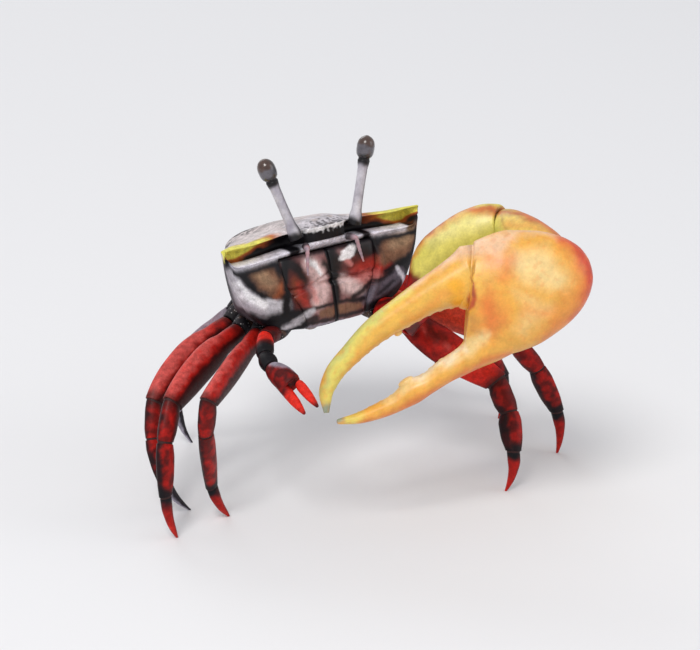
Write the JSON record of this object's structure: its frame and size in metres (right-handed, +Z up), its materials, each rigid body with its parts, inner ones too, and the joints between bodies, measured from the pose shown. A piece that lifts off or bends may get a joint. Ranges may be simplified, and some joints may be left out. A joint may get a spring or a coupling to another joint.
{
  "type": "fiddler crab",
  "caption": "Male fiddler crab standing on the tips of its legs, the oversized claw held across its face and its eyes raised on long stalks.",
  "frame": {"origin": "on the floor under the middle of the bounding box", "axes": "+Z up, the crab faces -Y, +X is its left side, where the large claw is"},
  "size_m": [0.0746, 0.0622, 0.0561],
  "materials": {
    "dark_shell": "satin shell, black with flame-coloured strips",
    "underside_shell": "matt shell, mottled grey-brown",
    "mouth_plates": "satin shell, pale and red",
    "red_leg": "satin shell, deep red with near-black edges",
    "orange_claw": "glossy shell, finely grained, orange fading to cream",
    "yellow_green_arm": "satin shell, yellow-green",
    "small_claw_red": "satin shell, bright red",
    "eyestalk_grey": "smooth shell, pale grey",
    "eye_dark": "glossy, dark"
  },
  "bodies": {
    "root": {"carapace": "dark_shell", "thorax": "underside_shell", "abdomen": "underside_shell", "maxilliped_left": "mouth_plates", "maxilliped_right": "mouth_plates", "eyestalk_left": "eyestalk_grey", "eyestalk_right": "eyestalk_grey", "cornea_left": "eye_dark", "cornea_right": "eye_dark", "antenna_left": "eyestalk_grey", "antenna_right": "eyestalk_grey", "major_coxa": "red_leg", "major_merus": "yellow_green_arm", "major_carpus": "yellow_green_arm", "major_palm": "orange_claw", "major_dactyl": "orange_claw", "minor_coxa": "small_claw_red", "minor_merus": "small_claw_red", "minor_carpus": "small_claw_red", "minor_palm": "small_claw_red", "minor_dactyl": "small_claw_red", "right_leg_1_merus": "red_leg", "right_leg_1_carpus": "red_leg", "right_leg_1_propodus": "red_leg", "right_leg_1_dactyl": "red_leg", "right_leg_2_merus": "red_leg", "right_leg_2_carpus": "red_leg", "right_leg_2_propodus": "red_leg", "right_leg_2_dactyl": "red_leg", "right_leg_3_merus": "red_leg", "right_leg_3_carpus": "red_leg", "right_leg_3_propodus": "red_leg", "right_leg_3_dactyl": "red_leg", "right_leg_4_merus": "red_leg", "right_leg_4_carpus": "red_leg", "right_leg_4_propodus": "red_leg", "right_leg_4_dactyl": "red_leg", "left_leg_1_merus": "red_leg", "left_leg_1_carpus": "red_leg", "left_leg_1_propodus": "red_leg", "left_leg_1_dactyl": "red_leg", "left_leg_2_merus": "red_leg", "left_leg_2_carpus": "red_leg", "left_leg_2_propodus": "red_leg", "left_leg_2_dactyl": "red_leg", "left_leg_3_merus": "red_leg", "left_leg_3_carpus": "red_leg", "left_leg_3_propodus": "red_leg", "left_leg_3_dactyl": "red_leg", "left_leg_4_merus": "red_leg", "left_leg_4_carpus": "red_leg", "left_leg_4_propodus": "red_leg", "left_leg_4_dactyl": "red_leg"}
  },
  "joints": []
}
